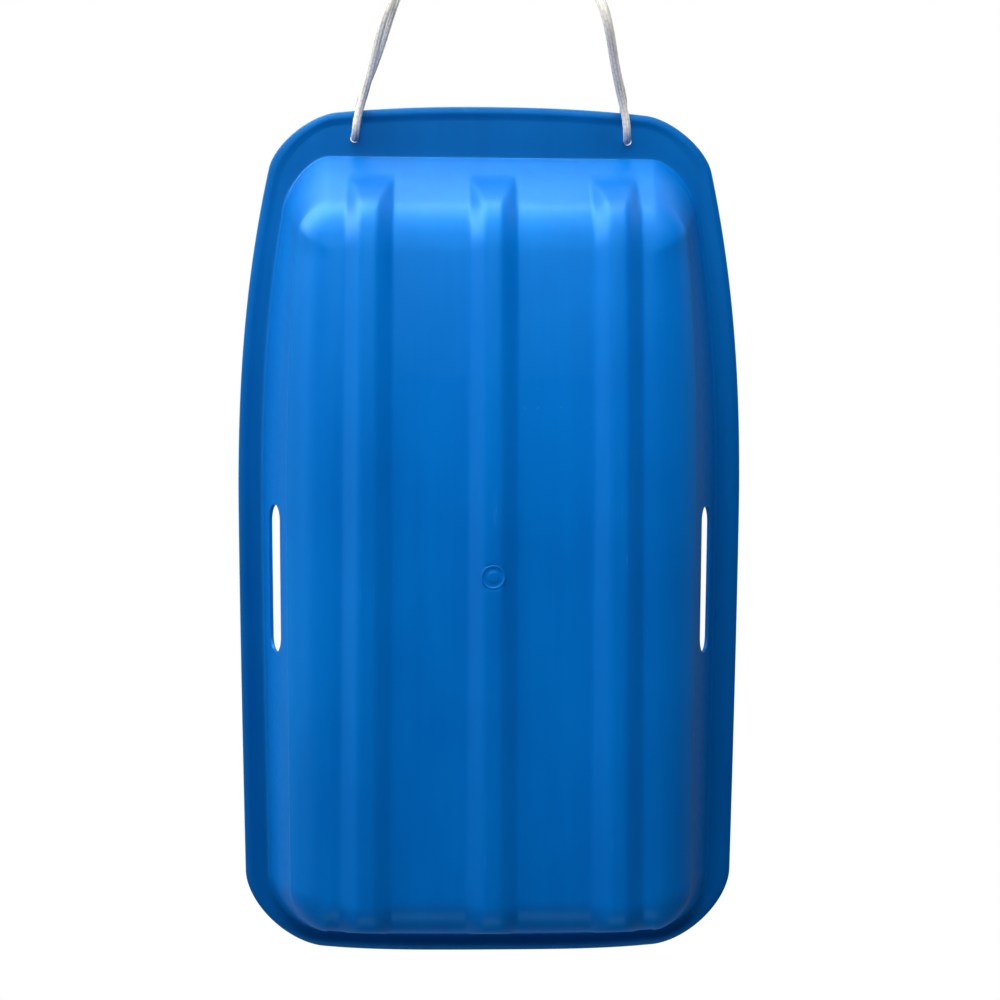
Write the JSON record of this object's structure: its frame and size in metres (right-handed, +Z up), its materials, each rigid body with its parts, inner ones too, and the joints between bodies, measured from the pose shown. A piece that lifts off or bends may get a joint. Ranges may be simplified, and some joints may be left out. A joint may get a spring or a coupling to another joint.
{
  "type": "plastic sled with pull rope",
  "caption": "Moulded tray sled with upturned nose, side walls with hand slots, three runners underneath, a flat flange with a shallow bead along its edge, and a braided pull rope looped through the front flange.",
  "frame": {"origin": "on the ground under the middle of the tray, which stands on its runners", "axes": "+Z up, -Y towards the front of the sled where the rope is, +X to the left of a rider who faces the front"},
  "size_m": [0.416, 0.8837, 0.1099],
  "materials": {
    "blue_plastic": "semi-gloss moulded blue polyethylene with a fine moulded grain",
    "rope": "off-white braided cord"
  },
  "bodies": {
    "root": {"sled_shell": "blue_plastic", "rope_bight_left": "rope", "rope_bight_right": "rope", "rope_lead_left": "rope", "rope_lead_right": "rope", "rope_coil": "rope", "knot_left": "rope", "knot_right": "rope"}
  },
  "joints": []
}
